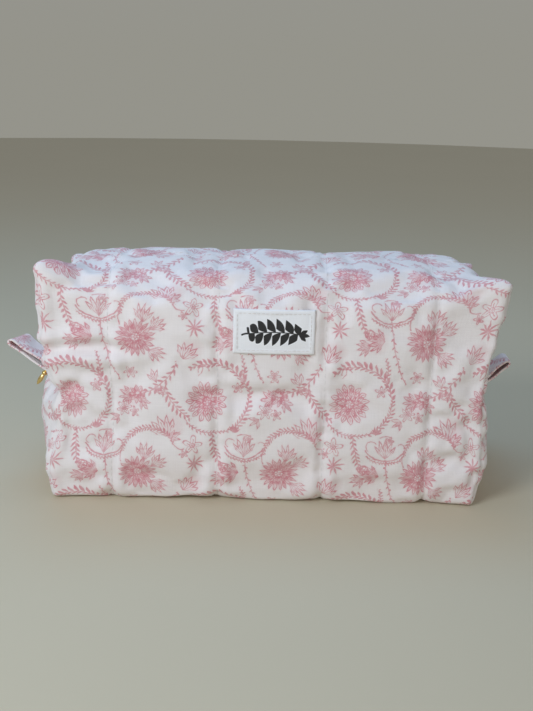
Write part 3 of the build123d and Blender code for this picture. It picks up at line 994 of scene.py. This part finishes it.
# A stitch, from end to end: places along it, then its radius and its height there against its thickness
STITCH_PLACES = np.array([0, 0.12, 0.5, 0.88, 1])
STITCH_RADII = np.array([0.35, 0.9, 1.0, 0.9, 0.35]) / 2
STITCH_LIFTS = np.array([-0.45, 0.1, 0.4, 0.1, -0.45])
STITCH_SIDES = 6
TOOTH_SIDES = 8


def tube_faces(first, stations, sides, turned=False):
    """Faces of a tube whose rings of points are numbered from first, with a cap at each end."""
    faces = []
    for station in range(stations - 1):
        a, b = first + station * sides, first + (station + 1) * sides
        for k in range(sides):
            n = (k + 1) % sides
            faces.append([a + k, b + k, b + n, a + n] if turned else [a + k, a + n, b + n, b + k])
    caps = [list(range(ring, ring + sides)) for ring in (first, first + (stations - 1) * sides)]
    return faces + ([caps[0], caps[1][::-1]] if turned else [caps[0][::-1], caps[1]])


def stitches(points, ups, length, gap, thickness):
    """Short threads along a path, each a small rounded bar sunk at its ends.

    Gives their points, their faces and how far along the path each point is, from 0 to 1.
    """
    points, ups = np.asarray(points, float), np.asarray(ups, float)
    travelled = travel(points)
    found, faces, where = [], [], []
    start = gap
    while start + length < travelled[-1]:
        stations = start + length * STITCH_PLACES
        centre = at_places(stations, travelled, points)
        up = unit(at_places(stations, travelled, ups))
        across = unit(np.cross(unit(centre[-1] - centre[0]), up))
        faces += tube_faces(len(found), len(stations), STITCH_SIDES)
        for station, (radius, lift) in enumerate(zip(thickness * STITCH_RADII, thickness * STITCH_LIFTS)):
            for k in range(STITCH_SIDES):
                angle = 2 * math.pi * k / STITCH_SIDES
                offset = across[station] * math.cos(angle) + up[station] * math.sin(angle)
                found.append(centre[station] + up[station] * lift + offset * radius)
                where.append(stations[station] / travelled[-1])
        start += length + gap
    return np.array(found), faces, np.array(where)


# ---------------------------------------------------------------- quilting and topstitching
def joined(parts):
    points, faces, extra = [], [], []
    for part_points, part_faces, part_extra in parts:
        first = sum(len(p) for p in points)
        points.append(part_points)
        faces += [[first + number for number in face] for face in part_faces]
        extra.append(part_extra)
    return np.concatenate(points), faces, np.concatenate(extra)


for side_name, side in SIDES.items():
    fine, outer, normals, _ = panels[side_name]
    parts = []
    for line in QUILTING_X:
        column = int(np.argmin(np.abs(fine.box[fine.grids["face"][:, 0], 0] - line)))
        base = fine.grids["base"][column][-4:]
        rows = [*base, *fine.grids["face"][column][1:], *fine.grids["top"][column][::-1][1:-4]]
        points, faces, where = stitches(outer[rows], normals[rows], 2.9, 0.9, 0.42)
        parts.append((points, faces, at_places(where, np.linspace(0, 1, len(rows)), fine.cloth[rows])))
    points, faces, cloth = joined(parts)
    quilting = make_object(f"quilting_stitches_{side_name}", points, faces, [white_thread])
    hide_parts(f"quilting_{side_name}", f"quilting_{side_name}_flap")
    follow_flap(quilting, mouth_weight(*cloth.T))

    rows = fine.zip_row(2)
    points, faces, where = stitches(outer[rows], normals[rows], 2.6, 0.8, 0.42)
    cloth = at_places(where, np.linspace(0, 1, len(rows)), fine.cloth[rows])
    topstitch = make_object(f"zip_topstitch_{side_name}", points, faces, [white_thread])
    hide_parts(f"topstitch_{side_name}")
    follow_flap(topstitch, mouth_weight(*cloth.T))


# ---------------------------------------------------------------- zip
TAPE_REACH = 7
TAPE_LOW = 2.3  # underside of the tape, below the panels' outer surface
COIL_MIDDLE = 2.0  # middle of the coil, likewise
STRAIGHT_TO = 108  # up to this height the zip lies straight on the ends, for the slider
TOOTH_PITCH = 1.5
# A tooth of the coil: distance from the middle of the zip, radius
TOOTH = ((2.9, 0.30), (2.2, 0.42), (0.6, 0.42), (-0.2, 0.50), (-0.75, 0.34))
TOOTH_RISE = 1.6  # its height against its width
GIRTH = 2 * HALF_DEPTH + EDGE_Z


def zip_line():
    """Middle line of the zip with its outward directions, from the left end seam to the right one."""
    rows = [panels[name][0].zip_row(0) for name in SIDES]
    edges = [panels[name][1][row] for name, row in zip(SIDES, rows)]
    line = (edges[0] + edges[1]) / 2
    line[:, 1] = 0
    line = evened(line, 12)
    straight = 1 - smooth((line[:, 2] - STRAIGHT_TO) / 12)
    line[:, 0] += straight * (np.sign(line[:, 0]) * HALF_LENGTH - line[:, 0])
    ahead = np.gradient(line, axis=0)
    return line, unit(np.stack([-ahead[:, 2], 0 * ahead[:, 0], ahead[:, 0]], -1))


zip_middle, zip_outward = zip_line()
zip_travel = travel(zip_middle)


def along_zip(distance):
    return at_places(distance, zip_travel, zip_middle), unit(at_places(distance, zip_travel, zip_outward))


def coil_teeth(side, start, end):
    """The rounded teeth of one coil, each reaching just past the middle of the zip."""
    points, faces = [], []
    distance = start + (TOOTH_PITCH / 2 if side > 0 else 0)
    while distance < end:
        centre, outward = along_zip(distance)
        ahead = unit(along_zip(distance + 0.5)[0] - along_zip(distance - 0.5)[0])
        faces += tube_faces(len(points), len(TOOTH), TOOTH_SIDES, side > 0)
        for y, size in TOOTH:
            for k in range(TOOTH_SIDES):
                angle = 2 * math.pi * k / TOOTH_SIDES
                rise = TOOTH_RISE * size * math.sin(angle) - COIL_MIDDLE
                offset = ahead * size * math.cos(angle) + outward * rise
                points.append(centre + np.array([0, side * y, 0]) + offset)
        distance += TOOTH_PITCH
    return np.array(points), faces


def zip_weight(points):
    """The weight of the panel's edge at the zip, given to the parts of the zip that lie above the ends."""
    return mouth_weight(points[:, 0], GIRTH - ZIP_EDGE) * (points[:, 2] > EDGE_Z - 25)


# The tape's section: distance from the middle of the zip, height above the tape's underside
TAPE = ((1.9, 0), (1.9, 0.5), (3.4, 0.6), (ZIP_EDGE, 0.6), (TAPE_REACH, 0.5), (TAPE_REACH, 0), (ZIP_EDGE, 0))

for side_name, side in SIDES.items():
    section = [(-side * a, b - TAPE_LOW) for a, b in (TAPE if side < 0 else TAPE[::-1])]
    points, faces, uv = sweep(zip_middle, zip_outward, section)
    tape = make_object(f"zip_tape_{side_name}", points, faces, [tape_cloth], uv)
    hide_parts(f"zipper_tape_{side_name}", *[f"zipper_tape_{side_name}_{end}" for end in ENDS])
    follow_flap(tape, zip_weight(points))

    points, faces = coil_teeth(side, 7, zip_travel[-1] - 5)
    coil = make_object(f"zip_coil_{side_name}", points, faces, [coil_material])
    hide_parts(f"zipper_coil_{side_name}", *[f"zipper_coil_{side_name}_{end}" for end in ENDS])
    follow_flap(coil, zip_weight(points))

for name in ("slider", "puller", "zipper_top_stops", "zipper_bottom_stop"):
    metal = frame["nodes"][name]
    metal.data.materials.clear()
    metal.data.materials.append(gold_material)
    metal.data.polygons.foreach_set("use_smooth", np.ones(len(metal.data.polygons), bool))


# ---------------------------------------------------------------- label
front_fine, front_outer, front_normals, front_inner = panels["front"]
front_tree = BVHTree.FromPolygons(front_outer.tolist(), front_fine.faces.tolist())
label_middle = (label_low + label_high) / 2
LABEL_LENGTH, LABEL_HEIGHT = 45, 25
LABEL_TILT = math.radians(0.3)
LABEL_HEM = 2.2
LABEL_THICKNESS = 0.8


def label_place(across, up):
    """Where a point of the label lies along and up the bag."""
    c, s = math.cos(LABEL_TILT), math.sin(LABEL_TILT)
    return label_middle.x + across * c + up * s, label_middle.z + up * c - across * s


def front_depth(x, z):
    return front_tree.ray_cast(Vector((x, -200, z)), Vector((0, 1, 0)))[0][1]


def bowed(x, z):
    x, z = (x - label_middle.x) / 25, (z - label_middle.z) / 25
    return np.array([1, x, z, x * x, z * z, x * z])


samples = [label_place(across, up) for across in np.linspace(-25, 25, 21) for up in np.linspace(-12, 12, 11)]
depths = np.array([front_depth(*place) for place in samples])
bow = np.linalg.lstsq(np.array([bowed(*place) for place in samples]), depths, rcond=None)[0]
proud = float(np.percentile([bowed(*place) @ bow - depth for place, depth in zip(samples, depths)], 85))


def label_points(across, up, lift):
    """A point of the label, laid over the quilted face and bowed gently with it."""
    x, z = label_place(across, up)
    return (x, min(bowed(x, z) @ bow - proud, front_depth(x, z) + 0.2) - lift, z)


columns = np.linspace(-LABEL_LENGTH / 2, LABEL_LENGTH / 2, 61)
rows = np.linspace(-LABEL_HEIGHT / 2, LABEL_HEIGHT / 2, 31)
points, places = [], []
for across in columns:
    for up in rows:
        inset = min(LABEL_LENGTH / 2 - abs(across), LABEL_HEIGHT / 2 - abs(up))
        hem = 0.28 * float(smooth((LABEL_HEM + 0.6 - inset) / 0.8))
        rounding = 0.35 * (1 - math.sqrt(max(0.0, 1 - max(0.0, 1 - inset / 0.5) ** 2)))
        wobble = 0.12 * float(ripples(np.array([[across, up]]), 9, 77)[0])
        points.append(label_points(across, up, 0.55 + hem - rounding + wobble * 0.5))
        places.append((across, up))
points = np.array(points)
under = points + (0, LABEL_THICKNESS, 0)
faces, uv = two_sided(len(columns), len(rows), places)
label = make_object("sewn_label", np.concatenate([points, under]), faces, [label_material], uv)
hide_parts("label")
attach(label, "bag_body")

hem_x, hem_z = LABEL_LENGTH / 2 - LABEL_HEM, LABEL_HEIGHT / 2 - LABEL_HEM
ring = [(-hem_x, -hem_z), (hem_x, -hem_z), (hem_x, hem_z), (-hem_x, hem_z), (-hem_x, -hem_z)]
parts = []
for (x0, z0), (x1, z1) in zip(ring, ring[1:]):
    steps = np.linspace(0, 1, 24)
    path = np.array([label_points(x0 + (x1 - x0) * t, z0 + (z1 - z0) * t, 0.8) for t in steps])
    parts.append(stitches(path, np.tile((0, -1, 0), (len(path), 1)), 1.9, 0.6, 0.32))
points, faces, _ = joined(parts)
label_thread = make_object("label_stitches", points, faces, [white_thread])
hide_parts("label_stitching")
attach(label_thread, "bag_body")


# ---------------------------------------------------------------- tabs
TAB_PLY = 1.1
TAB_IN_SEAM = 6.0


def tab_object(end_name, length, angle, skew, opening, twist):
    """A strip of printed cotton folded double into a loop, its two ends in the end seam."""
    end = ENDS[end_name]
    low, high = cad_box_of(f"tab_{end_name}")
    hinge = np.array(joints[f"{end_name}_tab_fold"]["pos_m"]) / MM
    width = high.y - low.y
    middle_y = (low.y + high.y) / 2
    out = np.array([end * math.cos(math.radians(angle)), 0, math.sin(math.radians(angle))])
    up = np.array([-end * out[2], 0, end * out[0]])
    # outline of the loop, seen along the bag's depth: out along the upper ply and back along the lower one
    upper = [
        (-TAB_IN_SEAM, 0.9), (2, 1.1), (length * 0.35, 1.2 + opening),
        (length * 0.7, 1.4 + opening * 0.9), (length - 2.4, 1.9),
    ]
    tip_turn = [(length - 0.7, 1.3), (length, 0.0), (length - 0.7, -1.3)]
    lower = [(a, -b) for a, b in upper[::-1]]
    outline = np.array(upper + tip_turn + lower)
    line = evened(at_places(np.linspace(0, len(outline) - 1, 73), np.arange(len(outline)), outline), 8)
    ahead = unit(np.gradient(line, axis=0))
    side_ways = np.stack([-ahead[:, 1], ahead[:, 0]], -1)
    travelled = travel(line)
    columns = np.linspace(-1, 1, 29)
    outer, inner, places = [], [], []
    for number, (place, normal) in enumerate(zip(line, side_ways)):
        for column in columns:
            edge = 1 - abs(column)
            fold = 0.35 * bell(edge * width / 2 - 0.2, 0.9) - 0.25 * bell(edge * width / 2 - 2.6, 0.7)
            wave = 0.25 * float(ripples(np.array([[travelled[number], column * 10]]), 16, 90 + end)[0])
            half = TAB_PLY / 2 * (0.55 + 0.45 * float(smooth(edge * width / 2.4))) + fold * 0.5
            for store, sign in ((outer, 1), (inner, -1)):
                a, b = place + normal * (sign * half + wave)
                turn = math.radians(twist) * float(smooth(a / length))
                y = middle_y + column * width / 2 * math.cos(turn)
                rise = column * width / 2 * math.sin(turn)
                reach = a - skew * column * max(0.0, a) / length
                spot = hinge * (1, 0, 1) + out * reach + up * (b + rise) + (0, y, 0)
                store.append(spot)
            places.append((travelled[number] + 5, column * width / 2 + 42))
    faces, uv = two_sided(len(line), len(columns), places, turned=end < 0)
    obj = make_object(f"folded_tab_{end_name}", outer + inner, faces, [cotton], uv)
    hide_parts(f"tab_{end_name}")
    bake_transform(obj)


tab_object("left", length=30, angle=37, skew=2.8, opening=0.3, twist=3)
tab_object("right", length=19.5, angle=38, skew=0.0, opening=0.3, twist=-7)


# ---------------------------------------------------------------- bindings inside
def strip_object(name, path, ups, width, height, *nodes):
    points, faces, uv = sweep(path, ups, rounded_strip(width, height))
    points = points + 0.15 * ripples(points, 12, 5)[:, None]
    strip = make_object(name, points, faces, [binding_cloth], uv)
    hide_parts(*nodes)
    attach(strip, "bag_body")


grids = front_fine.grids
bottom_rows = [*grids["left_low"][0][::-1][2:], *grids["base"][1:-1, 0], *grids["right_low"][0][:-2]]
bottom = evened(front_inner[bottom_rows] * (1, 0, 1), 10)
strip_object("bottom_binding", bottom, -front_normals[bottom_rows], 10, 2, "bottom_seam_binding")

for end_name, end in ENDS.items():
    cad_name = f"end_seam_binding_{end_name}"
    low, high = cad_box_of(cad_name)
    middle = (low + high) / 2
    ys = np.linspace(low.y, high.y, 30)
    path = np.stack([middle.x + 0.4 * np.sin(ys / 9), ys, middle.z - 1.2 + 0.3 * np.cos(ys / 7)], -1)
    strip_object(f"end_binding_{end_name}", path, np.tile((0, 0, 1), (30, 1)), 8, 2.4, cad_name)
    for side_name, side in SIDES.items():
        cad_name = f"corner_seam_binding_{side_name}_{end_name}"
        low, high = cad_box_of(cad_name)
        middle = (low + high) / 2
        zs = np.linspace(low.z, high.z, 34)
        path = np.stack([middle.x + 0.3 * np.sin(zs / 8), middle.y + 0.3 * np.cos(zs / 11), zs], -1)
        facing = np.tile((end, -side, 0), (34, 1)) / math.sqrt(2)
        strip_object(f"corner_binding_{side_name}_{end_name}", path, facing, 8, 2.4, cad_name)


# ---------------------------------------------------------------- floor, light and camera
def area_light(name, place, target, size, power, colour):
    data = bpy.data.lights.new(name, "AREA")
    data.shape = "DISK"
    data.size = size
    data.energy = power
    data.color = colour
    lamp = bpy.data.objects.new(name, data)
    lamp.location = place
    lamp.rotation_mode = "QUATERNION"
    lamp.rotation_quaternion = (Vector(target) - Vector(place)).to_track_quat("-Z", "Y")
    bpy.context.scene.collection.objects.link(lamp)


FLOOR_RADIUS = 2500
FLOOR_SIDES = 64
angles = np.linspace(0, 2 * math.pi, FLOOR_SIDES, endpoint=False)
floor_points = [(FLOOR_RADIUS * math.cos(a), FLOOR_RADIUS * math.sin(a), 0) for a in angles]
FLOOR_COLOUR = (0.62, 0.555, 0.41)
floor_material = mottled("floor", 0.85, 0.0, 3.0, 3.0, darker(FLOOR_COLOUR, 0.96), FLOOR_COLOUR)[0]
floor = make_object("floor", floor_points, [list(range(FLOOR_SIDES))], [floor_material])

world = bpy.data.worlds.new("studio")
world.use_nodes = True
background = world.node_tree.nodes["Background"]
background.inputs["Strength"].default_value = 1.0
direction = node(world.node_tree, "ShaderNodeTexCoord").outputs["Generated"]
height = Number(node(world.node_tree, "ShaderNodeSeparateXYZ", Vector=direction).outputs[2])
SKY_LOW, SKY_HIGH = (0.30, 0.295, 0.26), (0.32, 0.35, 0.40)
sky = mix_colour(world.node_tree, height.do("MAXIMUM", 0.0), SKY_LOW, SKY_HIGH)
world.node_tree.links.new(sky, background.inputs["Color"])
scene = bpy.context.scene
scene.world = world
scene.view_settings.view_transform = "Standard"

# name, place and target in metres, width, power in watts, colour
LIGHTS = (
    ("key", (-0.5, -0.66, 0.58), (-0.05, -0.03, 0.1), 0.42, 4.35, (0.80, 0.885, 1.0)),
    ("front_fill", (0.1, -1.4, 0.26), (0, 0, 0.05), 0.8, 2.55, (1.0, 0.85, 0.745)),
    ("above", (-0.1, 0.3, 0.85), (0, 0, 0.12), 0.5, 1.9, (0.24, 0.57, 1.0)),
)
for light in LIGHTS:
    area_light(*light)

CAMERA_X = -1.9
CAMERA_DISTANCE = 570  # level distance from the front face
CAMERA_HEIGHT = 252
CAMERA_PITCH = 16  # degrees, as is the roll
CAMERA_ROLL = 1.2
FOCAL = 54.1  # for a 36 mm frame
camera_data = bpy.data.cameras.new("camera")
camera_data.lens = FOCAL
camera_data.sensor_width = 36
camera = bpy.data.objects.new("camera", camera_data)
camera.location = Vector((CAMERA_X, -HALF_DEPTH - CAMERA_DISTANCE, CAMERA_HEIGHT)) * MM
scene.collection.objects.link(camera)
scene.camera = camera
camera.rotation_mode = "XYZ"
camera.rotation_euler = (math.radians(90 - CAMERA_PITCH), 0, 0)
camera.rotation_euler.rotate_axis("Z", math.radians(CAMERA_ROLL))
